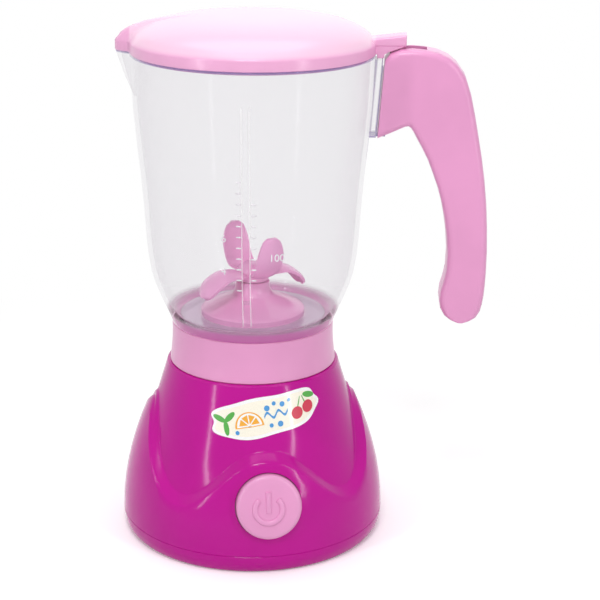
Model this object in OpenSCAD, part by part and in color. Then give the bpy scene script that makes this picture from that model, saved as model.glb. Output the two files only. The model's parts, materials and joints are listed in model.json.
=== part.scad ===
// Toy blender: a battery base with a push button, a lift-off jug with a turning
// blade, and a lift-off lid. Millimetres. +Z is up, the origin is at the centre of
// the face that the base stands on, and the button looks along -Y.

/* [Base] */
// Radius of the ring that the base stands on
foot_r = 50; // [48:0.5:51]
// Radius of the base at its seam
base_r = 53.5; // [53:0.5:56]
// Height of the seam between the bottom cover and the housing
seam_h = 7.8; // [7:0.1:9]
// Height of the housing's top face
housing_h = 71.3; // [70:0.1:74]
// Radius of the housing at its top
housing_top_r = 34.4; // [34.2:0.1:36]
// Radius that the bell gains for each millimetre down
bell_flare = 0.31; // [0.29:0.01:0.32]
// Wall of the moulded base
wall = 2; // [1.6:0.1:2.4]
// Thickness of the housing's top plate
top_plate = 2.4; // [2:0.1:3]

/* [Arches of the skirt] */
// Height of the arch over the button, and of the one at the back
front_arch_h = 46.8; // [44:0.2:49]
// Height of the arches at the two sides
side_arch_h = 58; // [52:0.5:60]
// Height of the dips between the arches
valley_h = 27.4; // [26:0.2:30]
// Half of the angle that a side arch spans
side_arch_half = 48; // [44:1:52]
// Drop from the foot of the bell to the edge of the skirt
ledge_drop = 1.8; // [1.2:0.1:2.4]
// Size of the soft edge along the arches
crest_round = 1.8; // [1.2:0.1:2.2]

/* [Button and switch] */
// Radius of the button's cap
button_r = 12.7; // [11:0.1:14]
// Height of the button's centre
button_h = 28; // [27:0.2:30]
// Angle that the button leans back with the skirt
button_tilt = 12; // [8:1:15]
// Distance that the button travels when it is pressed
button_travel = 2; // [1.5:0.1:2.4]
// Gap between the cap and its hole
button_gap = 0.35; // [0.25:0.05:0.5]
// Height of the cap's rim over the skirt
button_rise = 2.2; // [1.6:0.1:2.8]

/* [Batteries] */
// Radius of one cell
cell_r = 7.25; // [7:0.05:7.25]
// Length of one cell
cell_l = 50.5; // [49:0.1:50.5]
// Distance from the base's axis to the middle of the battery bay
bay_y = 9; // [8:0.5:10]
// Length of the bay's contact springs
contact_spring_l = 6.5; // [5.5:0.1:7]

/* [Motor and drive] */
// Radius of the motor's round sides
motor_r = 10; // [9:0.1:10.5]
// Width of the motor across its flats
motor_flat_w = 15; // [14:0.1:16]
// Length of the motor's can
motor_l = 25; // [22:0.5:26]
// Radius of the motor's shaft
shaft_r = 1; // [0.8:0.05:1.2]
// Radius of the two halves of the coupling
coupling_r = 7.6; // [7:0.1:8]
// Number of teeth on each half of the coupling
coupling_teeth = 3; // [3:1:4]
// Radial play of a shaft in its bore
running_play = 0.05; // [0.03:0.01:0.09]

/* [Jug] */
// Angle that the jug is turned on the base
jug_turn = -10.5; // [-20:0.5:20]
// Height of the collar
collar_l = 16.7; // [15:0.1:18]
// Radius of the collar and of the jug where the two meet
collar_top_r = 32.3; // [32:0.1:33]
// Radius that the collar gains towards its foot
collar_taper = 1; // [0.6:0.1:1.6]
// Radius of the jug at its rim
rim_r = 47; // [46:0.1:48]
// Height of the rim over the ground
rim_h = 195.2; // [194:0.2:197]
// Wall of the clear jug
jug_wall = 1.8; // [1.5:0.1:2.2]
// Reach of the spout beyond the round rim
spout_reach = 5.8; // [4:0.1:7]
// Half of the spout's width where it leaves the rim
spout_half_w = 5.4; // [4:0.1:7]
// Depth of the spout below the rim
spout_depth = 17.5; // [14:0.5:20]
// Width of the raised strip behind the scale
strip_w = 3.2; // [2.5:0.1:4]

/* [Blade] */
// Radius of the blade seat
seat_r = 20.7; // [19:0.1:22]
// Radius of the seat's neck
neck_r = 6.8; // [6:0.1:7.4]
// Height of the neck's top over the jug's floor
neck_l = 13.6; // [12:0.2:15]
// Radius of the blade's spindle
spindle_r = 1.5; // [1.3:0.1:1.8]
// Thickness of a paddle
paddle_t = 2; // [1.6:0.1:2.4]
// Half of a raised paddle's width
up_half_w = 5.8; // [4:0.1:6]
// Half of a lowered paddle's width
down_half_w = 6.4; // [5:0.1:7]
// Angle of the first lowered paddle
blade_angle = 23; // [0:1:45]

/* [Handle] */
// Width of the handle
handle_w = 15; // [13:0.5:17]
// Rounding of the handle's long edges
handle_edge = 2.6; // [2:0.1:3]
// Width of the slot that takes the lid's tongue
slot_w = 7; // [6.6:0.1:8]

/* [Lid] */
// Height of the lid's side band
band_l = 4.2; // [3.6:0.1:5]
// Height of the dome over the band
dome_l = 9.8; // [8:0.2:11]
// Overhang of the lid beyond the jug's rim
lid_over = 0.2; // [0.1:0.1:0.5]
// Play between the lid's plug and the jug
plug_gap = 0.35; // [0.3:0.05:0.6]
// Width of the tongue that reaches over the handle
tongue_w = 10; // [9:0.5:12]

/* [Hidden] */
$fn = 96;

pink = [0.90, 0.63, 0.80];
pale_pink = [0.98, 0.87, 0.94];
magenta = [0.77, 0.17, 0.62];
clear = [0.93, 0.93, 0.96, 0.35];
steel = [0.72, 0.73, 0.75];

// Clearances that several pieces share
fit_gap = 0.3;
seat_gap = 0.15;
cut = 1;

// Outer form of the base
skirt_top_r = 41.1;
skirt_curve = 1.9;
skirt_rise = side_arch_h - ledge_drop - seam_h;
front_arch_power = 1.2;
bell_fillet = 1;
top_round = 0.6;
columns = 96;
skirt_rows = 7;
bell_rows = 4;
cavity_step_h = seam_h + 6.2;
cavity_h = housing_h - top_plate;
cavity_foot_h = valley_h - 3.4;

// Bottom cover
recess_h = 1;
floor_t = 2;
floor_h = recess_h + floor_t;
foot_w = 4;
seam_groove = 0.4;
lip_t = 1.4;
lip_l = 2.6;
lip_r = base_r - wall - 0.2;

// Screws that hold the housing, and the posts that take them
post_angles = [30, 150, 210, 330];
post_r = 3.6;
post_place_r = min(foot_r - foot_w - recess_h, lip_r - lip_t - fit_gap) - post_r;
post_top_h = valley_h + 6;
screw_r = 1.3;
screw_head_r = 2.8;
screw_head_l = 1.8;
screw_seat_h = floor_h + screw_head_l;
screw_reach = 14;
thread_cut = 0.2;

// Battery bay
bay_wall = 1.6;
bay_gap = 0.25;
bay_half_l = (cell_l + contact_spring_l) / 2 + 0.5;
bay_half_w = 2 * (cell_r + bay_gap);
bay_top_h = floor_h + 11;
contact_t = 0.5;
cell_z = floor_h + cell_r;
nub_r = 2.6;
nub_l = 1.3;
spring_wire_r = 0.4;
spring_turns = 3.5;
spring_top_r = 2.6;
spring_foot_r = 4.4;
door_gap = 0.3;
door_end = 9.4;
door_ledge = 2;
door_half_w = bay_half_w - 0.3;
door_end_half_w = 5;
contact_low_h = floor_h + 1.2;
door_screw_x = bay_half_l + 5;
door_screw_r = 1.2;
door_boss_r = 3.4;
door_boss_h = floor_h + 8;
door_tab_w = 5;
door_tab_t = 0.9;

// Button and switch, along the button's own axis
button_d = skirt_at(button_h);
cap_skirt = 3.6;
flange_t = 1.4;
flange_over = 1.5;
pocket_gap = 0.5;
stem_r = 3;
stem_end = cap_skirt + flange_t + 3.4;
carrier_front = stem_end + button_travel + 1.6;
carrier_t = 2;
carrier_half_l = 21;
carrier_half_w = 6.5;
carrier_boss_r = 3;
carrier_boss_x = 17.5;
carrier_screw_r = 1;
carrier_screw_head = 2;
switch_body_w = 9;
switch_body_l = 9;
plunger_r = 1.6;
plunger_l = 7.5;

// Ring on the housing that the collar drops over, and the well for the coupling
ring_r = collar_top_r - 2.6;
ring_l = 6;
ring_wall = 3;
ring_chamfer = 0.8;
ring_peg_r = 1.2;
ring_pegs = 3;
collar_play = 0.8;
well_r = coupling_r + 1.2;

// Motor, hung from the top plate
motor_top_h = cavity_h - 8;
motor_boss_x = motor_r + 7;
motor_boss_r = 3;
holder_wall = 1.8;
holder_gap = 0.1;
holder_top_h = motor_top_h - 4;
holder_l = 14;
ear_t = 2.2;
nose_r = 3;
nose_l = 1.6;

// Coupling between the motor and the blade
tooth_l = 4;
tooth_w = 3;
tooth_len = 3.2;
tooth_place_r = coupling_r - tooth_len / 2 - 0.3;
drive_disc_h = housing_h - 3.4;
drive_disc_t = 3;
drive_hub_r = 4;
drive_hub_l = 4;
tooth_gap = 0.8;
jug_disc_h = drive_disc_h + drive_disc_t + tooth_l + tooth_gap;
jug_disc_t = 3;

// Jug
collar_top_h = housing_h + collar_l;
collar_bore_r = ring_r + collar_play;
collar_r = collar_top_r + collar_taper;
jar_neck_r = collar_top_r - 2.7;
jar_neck_wall = 1.8;
jar_neck_low_h = housing_h + ring_l + 1.8;
jar_floor_h = collar_top_h + 2.2;
jar_floor_t = 2.4;
jar_floor_r = jar_neck_r - 1;
// Outer form of the jug: [share of the height from collar to rim, radius]
jar_form = [
    [0.000, collar_top_r], [0.025, collar_top_r + 1], [0.060, collar_top_r + 2.6],
    [0.095, collar_top_r + 4.3], [0.128, collar_top_r + 5.7], [0.160, collar_top_r + 7],
    [0.195, rim_r - 6.7], [0.250, rim_r - 5.7], [0.315, rim_r - 5], [0.430, rim_r - 4.3],
    [0.550, rim_r - 3.3], [0.670, rim_r - 2], [0.810, rim_r - 0.7], [1.000, rim_r]
];
strip_low = 0.085;
strip_high = 0.88;
strip_t = 0.45;

// Rail on the jug that the handle hangs on
rail_low_h = rim_h - 32;
rail_top_h = rim_h - 1.8;
rail_lean = 2.2;
rail_stop = 3;
rail_half_w = 4;
rail_web_half = 1.5;
rail_head_half = 3.2;
rail_head_t = 1.4;
rail_web_l = 3;
handle_face_x = rim_r + 3.5;
rail_face_gap = 0.7;

// Blade seat, spindle and bushes
seat_side_l = 2.6;
seat_spigot_r = 17.5;
seat_spigot_l = 5;
bush_r = 3;
bush_l = 6;
neck_top_h = jar_floor_h + neck_l;
hub_r = 6.3;
hub_gap = 0.4;
hub_h = neck_top_h + hub_gap;
hub_l = 5.4;
hub_dome = 1.8;
spindle_low_h = jug_disc_h + 0.6;
spindle_top_h = hub_h + hub_l - 1.2;

// Handle: sections from the jug's face, over the bend and down to the tip
handle_rows = [for (r = [
    [2.9, -31.3, 5.6, 0.7], [6.9, -29.6, 9.5, 2.3], [9.7, -28.3, 14.0, 2.6],
    [11.7, -27.4, 19.0, 2.2], [13.1, -27.1, 23.5, 1.3], [14.1, -27.8, 27.7, -0.5],
    [15.1, -29.3, 31.0, -3.2], [16.5, -31.9, 34.2, -7.6], [18.5, -35.4, 36.6, -14.6],
    [20.8, -39.8, 38.4, -22.4], [22.7, -44.5, 40.0, -30.2], [25.1, -50.9, 41.7, -39.0],
    [26.9, -57.3, 43.1, -47.6], [28.3, -63.8, 44.3, -57.5], [29.3, -70.5, 45.0, -67.0],
    [29.9, -77.7, 45.4, -76.5], [29.7, -84.7, 45.4, -85.0], [28.8, -89.4, 45.2, -90.6],
    [27.8, -92.9, 44.9, -94.7], [27.4, -96.9, 44.4, -98.4], [27.9, -100.2, 43.7, -101.3],
    [29.4, -103.0, 42.3, -103.7], [31.6, -104.8, 40.0, -105.2], [34.2, -105.7, 37.4, -105.8]
]) [[rim_r + r[0], rim_h + r[1]], [rim_r + r[2], rim_h + r[3]]]];
slot_start_x = rim_r + 5.4;
slot_end_x = slot_start_x + 14;
slot_floor_h = rim_h - 7;

// Lid
lid_r = rim_r + lid_over;
lid_wall = 1.8;
plug_r = rim_r - jug_wall - plug_gap;
plug_wall = 1.5;
plug_l = 1.4;
lid_round = 1.4;
dome_power = 4;
dome_fall = 0.7;
dome_steps = [0.985, 0.95, 0.89, 0.8, 0.68, 0.53, 0.36, 0.18];
tongue_len = 11.3;
tongue_edge = 0.9;
tongue_rise = 2;
tongue_drop = 3.2;
tab_gap = 0.35;
tab_l = 3;

// ---------- functions ----------

// Radius of the skirt at a height
function skirt_at(z) =
    base_r - (base_r - skirt_top_r) * pow(max(0, z - seam_h) / skirt_rise, skirt_curve);

// Radius of the bell at a height
function bell_at(z) = housing_top_r + bell_flare * (housing_h - z);

// Height of the bell's foot round the base: four arches with dips between them
function arch_at(a) =
    let (
        turn = a - 180 * floor(a / 180),
        q = min(turn, 180 - turn),
        share = (90 - q) / (90 - side_arch_half)
    )
    q < side_arch_half
        ? valley_h + (side_arch_h - valley_h) * (1 + cos(180 * q / side_arch_half)) / 2
        : valley_h + (front_arch_h - valley_h)
            * (1 + cos(180 * pow(share, front_arch_power))) / 2;

// One upright line of the housing's outside, as [radius, height]
function housing_column(a) =
    let (
        foot = arch_at(a),
        crest = foot - ledge_drop,
        low = crest - crest_round,
        high = foot + bell_fillet,
        last = housing_h - top_round
    )
    concat(
        [for (i = [0:skirt_rows])
            let (z = seam_h + (low - seam_h) * i / skirt_rows) [skirt_at(z), z]],
        [
            [skirt_at(crest) - 0.2 * crest_round, crest - 0.42 * crest_round],
            [skirt_at(crest) - 0.62 * crest_round, crest - 0.08 * crest_round],
            [bell_at(foot) + bell_fillet, foot - 0.3 * bell_fillet],
            [bell_at(foot) + 0.3 * bell_fillet, foot + 0.2 * bell_fillet]
        ],
        [for (i = [0:bell_rows])
            let (z = high + (last - high) * i / bell_rows) [bell_at(z), z]],
        [[housing_top_r - top_round, housing_h]]
    );

// Radius of the jug's outside at a height
function jar_at(z) =
    lookup((z - collar_top_h) / (rim_h - collar_top_h), jar_form);

// Where the handle's front face is at a height: it leans with the jug
function face_at(z) = handle_face_x - rail_lean * (rail_top_h - z) / (rail_top_h - rail_low_h);

// Extra reach of the spout at an angle, 0 to 1, full at 180 degrees
function spout_share(a) =
    let (d = abs(a - 180), half = asin(spout_half_w / rim_r))
    d < half ? 1 - pow(d / half, 1.7) : 0;

// Angles round the lid, closer together at the spout
lid_angles = concat(
    [for (a = [0:5.5:170.5]) a],
    [for (d = [-6:1.2:6]) 180 + d],
    [for (a = [189.5:5.5:354.5]) a]
);

// A smooth line through points, with a number of steps between each two
function spline(p, steps) = concat(
    [for (i = [0:len(p) - 2], k = [0:steps - 1])
        let (
            a = p[max(i - 1, 0)],
            b = p[i],
            c = p[i + 1],
            d = p[min(i + 2, len(p) - 1)],
            t = k / steps
        )
        ((2 * b) + (c - a) * t + (2 * a - 5 * b + 4 * c - d) * t * t
            + (3 * b - a - 3 * c + d) * t * t * t) / 2],
    [p[len(p) - 1]]
);

// Direction at right angles to a line through two points, to its left
function left_of(a, b) = let (d = b - a) [-d[1], d[0]] / norm(d);

// A closed outline moved inwards by a distance, corner by corner
function inset(p, e) =
    [for (i = [0:len(p) - 1])
        let (
            n1 = left_of(p[(i + len(p) - 1) % len(p)], p[i]),
            n2 = left_of(p[i], p[(i + 1) % len(p)]),
            m = n1 + n2
        )
        p[i] + m * e / max(0.9, n1 * m)];

// ---------- helpers ----------

// A closed skin over rings of points that all have the same count. Seen from the last
// ring they run counter-clockwise, or clockwise where that is said
module skin(rings, clockwise = false) {
    n = len(rings[0]);
    m = len(rings);
    pts = [for (r = rings, p = r) p];
    sides = [for (j = [0:m - 2], i = [0:n - 1], k = [0:1])
        let (a = j * n + i, b = j * n + (i + 1) % n)
        k == 0 ? [a, a + n, b + n] : [a, b + n, b]];
    bottom = [[for (i = [0:n - 1]) i]];
    top = [[for (i = [n - 1:-1:0]) (m - 1) * n + i]];
    faces = concat(sides, bottom, top);
    polyhedron(points = pts, convexity = 8, faces = clockwise
        ? [for (f = faces) [for (i = [len(f) - 1:-1:0]) f[i]]]
        : faces);
}

// A plate of a closed outline in the XZ plane, centred on Y, with rounded long edges
module rounded_plate(outline, width, edge) {
    steps = [0, 30, 60, 90];
    half = width / 2;
    rings = concat(
        [for (s = steps)
            let (o = inset(outline, edge * (1 - sin(s))))
            [for (p = o) [p[0], -half + edge * (1 - cos(s)), p[1]]]],
        [for (s = [90, 60, 30, 0])
            let (o = inset(outline, edge * (1 - sin(s))))
            [for (p = o) [p[0], half - edge * (1 - cos(s)), p[1]]]]
    );
    skin(rings, clockwise = true);
}

// Places children on the button's axis: local +Z points out of the skirt
module at_button() {
    translate([0, -button_d, button_h]) rotate([90 - button_tilt, 0, 0]) children();
}

// Places children in the jug's own frame
module on_jug() {
    rotate([0, 0, jug_turn]) children();
}

module at_posts() {
    for (a = post_angles) rotate([0, 0, a]) translate([post_place_r, 0, 0]) children();
}

// Places children on the underside of the top plate, below the ring
module at_pegs() {
    for (i = [0:ring_pegs - 1]) rotate([0, 0, 90 + 360 * i / ring_pegs])
        translate([ring_r - ring_wall / 2, 0, cavity_h]) children();
}

// A screw that points up from its head, with a cross recess in the head
module screw(r, l, head_r, head_l) {
    difference() {
        union() {
            translate([0, 0, -head_l]) cylinder(r = head_r, h = head_l);
            translate([0, 0, -head_l / 2]) cylinder(r = r, h = l + head_l / 2);
        }
        for (a = [0, 90]) rotate([0, 0, a])
            translate([-head_r * 0.6, -0.35, -head_l - cut])
                cube([head_r * 1.2, 0.7, cut + head_l * 0.5]);
    }
}

// ---------- base ----------

module housing_outside() {
    angles = [for (i = [0:columns - 1]) 360 * i / columns];
    cols = [for (a = angles) housing_column(a)];
    rings = [for (j = [0:len(cols[0]) - 1])
        [for (i = [columns - 1:-1:0])
            [cols[i][j][0] * cos(angles[i]), cols[i][j][0] * sin(angles[i]),
                cols[i][j][1]]]];
    skin(rings, clockwise = true);
}

// The room inside the housing, less the posts and bosses that stand in it
module housing_room() {
    difference() {
        union() {
            rotate_extrude() polygon([
                [0, seam_h - cut],
                [base_r - wall, seam_h - cut],
                [base_r - wall, seam_h + lip_l],
                [skirt_at(cavity_step_h) - wall, cavity_step_h],
                [min(bell_at(cavity_foot_h), skirt_at(cavity_foot_h)) - wall, cavity_foot_h],
                [bell_at(cavity_h) - wall, cavity_h],
                [0, cavity_h]
            ]);
            // Flat pocket behind the button for its flange
            at_button() translate([0, 0, -25])
                cylinder(r = button_r + flange_over + pocket_gap, h = 25 - cap_skirt);
            // Space for the switch's carrier and the heads of its screws
            at_button() translate([-carrier_half_l - pocket_gap,
                    -carrier_half_w - pocket_gap, -carrier_front - carrier_t - 2])
                cube([2 * (carrier_half_l + pocket_gap), 2 * (carrier_half_w + pocket_gap),
                    carrier_t + 2 + pocket_gap]);
        }
        at_posts() translate([0, 0, seam_h]) cylinder(r = post_r, h = post_top_h);
        for (x = [-carrier_boss_x, carrier_boss_x])
            at_button() translate([x, 0, -carrier_front])
                cylinder(r = carrier_boss_r, h = carrier_front);
        for (x = [-motor_boss_x, motor_boss_x])
            translate([x, 0, holder_top_h - 2])
                cylinder(r = motor_boss_r, h = cavity_h);
    }
}

module base_housing() {
    color(magenta) difference() {
        housing_outside();
        housing_room();
        at_button() translate([0, 0, -8]) cylinder(r = button_r + button_gap, h = 20);
        at_pegs() translate([0, 0, -cut]) cylinder(r = ring_peg_r, h = top_plate + 2 * cut);
        translate([0, 0, cavity_h - cut]) cylinder(r = well_r, h = top_plate + 2 * cut);
        at_posts() translate([0, 0, seam_h - cut])
            cylinder(r = screw_r - thread_cut, h = screw_reach + cut);
        for (x = [-carrier_boss_x, carrier_boss_x])
            at_button() translate([x, 0, -carrier_front - cut])
                cylinder(r = carrier_screw_r - thread_cut, h = 6 + cut);
        for (x = [-motor_boss_x, motor_boss_x])
            translate([x, 0, holder_top_h - 2 - cut])
                cylinder(r = screw_r - thread_cut, h = 8 + cut);
    }
}

module cover_form() {
    edge_h = seam_h - seam_groove;
    rotate_extrude() polygon(concat(
        [[0, recess_h], [foot_r - foot_w - recess_h, recess_h], [foot_r - foot_w, 0]],
        [for (t = [0:15:90])
            [foot_r + (base_r - foot_r) * sin(t), edge_h * (1 - cos(t))]],
        [
            [base_r - seam_groove, seam_h],
            [lip_r, seam_h],
            [lip_r, seam_h + lip_l],
            [lip_r - lip_t, seam_h + lip_l],
            [lip_r - lip_t, floor_h],
            [0, floor_h]
        ]
    ));
}

// Outline of the battery door, and with a gap of its opening
module door_form(gap, h) {
    translate([-bay_half_l + door_ledge - gap, bay_y - door_half_w - gap, 0])
        cube([2 * bay_half_l - door_ledge + 2 * gap, 2 * (door_half_w + gap), h]);
    translate([0, bay_y - door_end_half_w - gap, 0])
        cube([bay_half_l + door_end + gap, 2 * (door_end_half_w + gap), h]);
}

module bottom_cover() {
    low = recess_h + floor_t / 2;
    color(magenta) difference() {
        union() {
            cover_form();
            // Walls of the battery bay
            translate([0, bay_y, low]) difference() {
                translate([-bay_half_l - bay_wall, -bay_half_w - bay_wall, 0])
                    cube([2 * (bay_half_l + bay_wall), 2 * (bay_half_w + bay_wall),
                        bay_top_h - low]);
                translate([-bay_half_l, -bay_half_w, -cut])
                    cube([2 * bay_half_l, 2 * bay_half_w, bay_top_h]);
            }
            // Pad and boss over the end of the door
            translate([door_screw_x, bay_y, low]) {
                cylinder(r = door_boss_r, h = door_boss_h - low);
                translate([bay_half_l + bay_wall / 2 - door_screw_x, -door_end_half_w - 2, 0])
                    cube([door_boss_r + 7, 2 * door_end_half_w + 4, floor_h + floor_t - low]);
            }
            at_posts() translate([0, 0, low]) cylinder(r = post_r, h = seam_h - low);
        }
        translate([0, 0, -cut]) door_form(door_gap, floor_h + cut);
        translate([door_screw_x, bay_y, floor_h - cut])
            cylinder(r = door_screw_r - thread_cut, h = 7 + cut);
        at_posts() {
            translate([0, 0, -cut]) cylinder(r = screw_r + fit_gap, h = seam_h + 2 * cut);
            translate([0, 0, -cut]) cylinder(r = screw_head_r + fit_gap, h = screw_seat_h + cut);
        }
    }
}

module battery_door() {
    color(magenta) difference() {
        union() {
            translate([0, 0, recess_h]) door_form(0, floor_t - seat_gap);
            // Hook that reaches over the edge of the bay's floor
            translate([-bay_half_l + fit_gap, bay_y - door_tab_w / 2, floor_h + seat_gap])
                cube([2 * door_ledge + 1, door_tab_w, door_tab_t]);
            translate([-bay_half_l + door_ledge, bay_y - door_tab_w / 2, recess_h + 0.5])
                cube([door_ledge + 1, door_tab_w, floor_t]);
        }
        // Finger recess and screw hole
        translate([-bay_half_l + 12, bay_y + 7, recess_h - 4])
            rotate([90, 0, 0]) cylinder(r = 5, h = 14);
        translate([door_screw_x, bay_y, 0]) cylinder(r = door_screw_r + fit_gap, h = 6);
        translate([door_screw_x, bay_y, 0]) cylinder(r = screw_head_r + 0.1, h = recess_h + 0.9);
    }
}

module door_screw() {
    color(steel) translate([door_screw_x, bay_y, recess_h + 0.9])
        screw(door_screw_r, 6.5, screw_head_r - 0.2, 0.8);
}

module housing_screws() {
    color(steel) at_posts() translate([0, 0, screw_seat_h])
        screw(screw_r, screw_reach - 1, screw_head_r, screw_head_l);
}

// One cell that lies along X, with its nub at the +X end
module cell() {
    rotate([0, 90, 0]) {
        cylinder(r = cell_r, h = cell_l - nub_l);
        cylinder(r = nub_r, h = cell_l);
    }
}

module batteries() {
    color("gold") {
        translate([bay_half_l - contact_t - cell_l, bay_y + bay_half_w / 2, cell_z]) cell();
        translate([-bay_half_l + contact_t + cell_l, bay_y - bay_half_w / 2, cell_z])
            rotate([0, 0, 180]) cell();
    }
}

module contact_plates() {
    plate_h = 2 * cell_r - 2;
    color(steel) {
        // One plate joins both cells, and two single plates lead out
        translate([bay_half_l - contact_t, bay_y - bay_half_w + 1, contact_low_h])
            cube([contact_t, 2 * bay_half_w - 2, plate_h]);
        for (s = [-1, 1])
            translate([-bay_half_l, bay_y + s * bay_half_w / 2 - cell_r + 1, contact_low_h])
                cube([contact_t, 2 * cell_r - 2, plate_h + 2]);
    }
}

// A coil that narrows from its foot at the origin to its top, along X
module coil(l) {
    steps = 12;
    rings = [for (i = [0:spring_turns * steps])
        let (
            s = i / (spring_turns * steps),
            a = 360 * i / steps,
            r = spring_foot_r + (spring_top_r - spring_foot_r) * s,
            c = [spring_wire_r + (l - 2 * spring_wire_r) * s, r * cos(a), r * sin(a)]
        )
        [for (k = [0:5])
            c + spring_wire_r * [sin(60 * k), cos(60 * k) * cos(a), cos(60 * k) * sin(a)]]];
    skin(rings, clockwise = true);
}

module contact_springs() {
    color(steel) {
        translate([bay_half_l - contact_t, bay_y - bay_half_w / 2, cell_z])
            mirror([1, 0, 0]) coil(contact_spring_l);
        translate([-bay_half_l + contact_t, bay_y + bay_half_w / 2, cell_z])
            coil(contact_spring_l);
    }
}

// ---------- motor and drive ----------

// The motor's outline: round with two flats, grown by a gap
module motor_form(gap) {
    intersection() {
        circle(r = motor_r + gap);
        square([2 * motor_r + 2, motor_flat_w + 2 * gap], center = true);
    }
}

module motor_can() {
    color(steel) difference() {
        union() {
            translate([0, 0, motor_top_h - motor_l]) linear_extrude(motor_l) motor_form(0);
            translate([0, 0, motor_top_h]) cylinder(r = nose_r, h = nose_l);
        }
        translate([0, 0, motor_top_h - motor_l - cut])
            cylinder(r = shaft_r + running_play, h = motor_l + nose_l + 2 * cut);
    }
}

module motor_holder() {
    low = holder_top_h - holder_l;
    color("white") difference() {
        union() {
            translate([0, 0, low]) linear_extrude(holder_l) motor_form(holder_wall);
            translate([-motor_boss_x - 4, -5, holder_top_h - 2 - ear_t])
                cube([2 * (motor_boss_x + 4), 10, ear_t]);
        }
        translate([0, 0, low - cut]) linear_extrude(holder_l + 2 * cut) motor_form(holder_gap);
        for (x = [-motor_boss_x, motor_boss_x])
            translate([x, 0, low - cut]) cylinder(r = screw_r + fit_gap, h = holder_l + 2 * cut);
    }
    // Floor that carries the can, open in the middle
    color("white") translate([0, 0, motor_top_h - motor_l - holder_wall]) difference() {
        linear_extrude(low + cut / 2 - motor_top_h + motor_l + holder_wall)
            motor_form(holder_wall);
        translate([0, 0, holder_wall])
            linear_extrude(low + cut - motor_top_h + motor_l) motor_form(holder_gap);
        translate([0, 0, -cut]) cylinder(r = motor_r - 4, h = holder_wall + 2 * cut);
    }
}

module holder_screws() {
    color(steel) for (x = [-motor_boss_x, motor_boss_x])
        translate([x, 0, holder_top_h - 2 - ear_t]) screw(screw_r, 9, screw_head_r, screw_head_l);
}

module motor_shaft() {
    color(steel) translate([0, 0, motor_top_h - motor_l + 0.5])
        cylinder(r = shaft_r, h = drive_disc_h + drive_disc_t - 1 - motor_top_h + motor_l - 0.5);
}

// Teeth of one half of the coupling, that point up from the origin
module teeth(turn) {
    for (i = [0:coupling_teeth - 1]) rotate([0, 0, turn + 360 * i / coupling_teeth])
        translate([tooth_place_r - tooth_len / 2, -tooth_w / 2, -cut])
            cube([tooth_len, tooth_w, tooth_l + cut]);
}

module drive_coupling() {
    color("white") translate([0, 0, drive_disc_h]) difference() {
        union() {
            cylinder(r = coupling_r, h = drive_disc_t);
            translate([0, 0, -drive_hub_l]) cylinder(r = drive_hub_r, h = drive_hub_l + cut);
            translate([0, 0, drive_disc_t]) teeth(0);
        }
        translate([0, 0, -drive_hub_l - cut])
            cylinder(r = shaft_r, h = drive_hub_l + drive_disc_t);
    }
}

// ---------- button and switch ----------

module power_button() {
    flange_r = button_r + flange_over;
    color(pink) at_button() rotate_extrude() polygon([
        [0, -stem_end],
        [stem_r, -stem_end],
        [stem_r, -cap_skirt - flange_t],
        [flange_r, -cap_skirt - flange_t],
        [flange_r, -cap_skirt],
        [button_r, -cap_skirt],
        [button_r, button_rise - 1.4],
        [button_r - 0.2, button_rise - 0.75],
        [button_r - 0.7, button_rise - 0.2],
        [button_r - 1.5, button_rise + 0.1],
        [button_r * 0.7, button_rise + 0.35],
        [button_r * 0.35, button_rise + 0.55],
        [0, button_rise + 0.6]
    ]);
}

module switch_plunger() {
    color("black") at_button() translate([0, 0, -stem_end - plunger_l])
        cylinder(r = plunger_r, h = plunger_l);
}

module switch_body() {
    back = carrier_front + carrier_t;
    color("dimgray") at_button() difference() {
        union() {
            translate([-switch_body_w / 2, -switch_body_w / 2, -back - switch_body_l])
                cube([switch_body_w, switch_body_w, switch_body_l]);
            translate([0, 0, -back - cut]) cylinder(r = plunger_r + 1.2, h = carrier_t + cut);
            // Two solder lugs
            for (x = [-2.5, 2.5]) translate([x - 0.8, -0.3, -back - switch_body_l - 3])
                cube([1.6, 0.6, 3 + cut]);
        }
        translate([0, 0, -back - switch_body_l + 1])
            cylinder(r = plunger_r + running_play, h = switch_body_l + carrier_t + cut);
    }
}

module switch_carrier() {
    color("white") at_button() translate([0, 0, -carrier_front - carrier_t]) difference() {
        translate([-carrier_half_l, -carrier_half_w, 0])
            cube([2 * carrier_half_l, 2 * carrier_half_w, carrier_t]);
        translate([0, 0, -cut]) cylinder(r = plunger_r + 1.2 + 0.1, h = carrier_t + 2 * cut);
        for (x = [-carrier_boss_x, carrier_boss_x]) translate([x, 0, -cut])
            cylinder(r = carrier_screw_r + 0.2, h = carrier_t + 2 * cut);
    }
}

module carrier_screws() {
    color(steel) at_button() for (x = [-carrier_boss_x, carrier_boss_x])
        translate([x, 0, -carrier_front - carrier_t])
            screw(carrier_screw_r, carrier_t + 5, carrier_screw_head, 1.2);
}

// ---------- jug ----------

module jug_seat() {
    color(magenta) {
        rotate_extrude() polygon([
            [ring_r - ring_wall, housing_h],
            [ring_r, housing_h],
            [ring_r, housing_h + ring_l - ring_chamfer],
            [ring_r - ring_chamfer, housing_h + ring_l],
            [ring_r - ring_wall, housing_h + ring_l]
        ]);
        at_pegs() cylinder(r = ring_peg_r, h = top_plate + ring_l / 2);
    }
}

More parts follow.
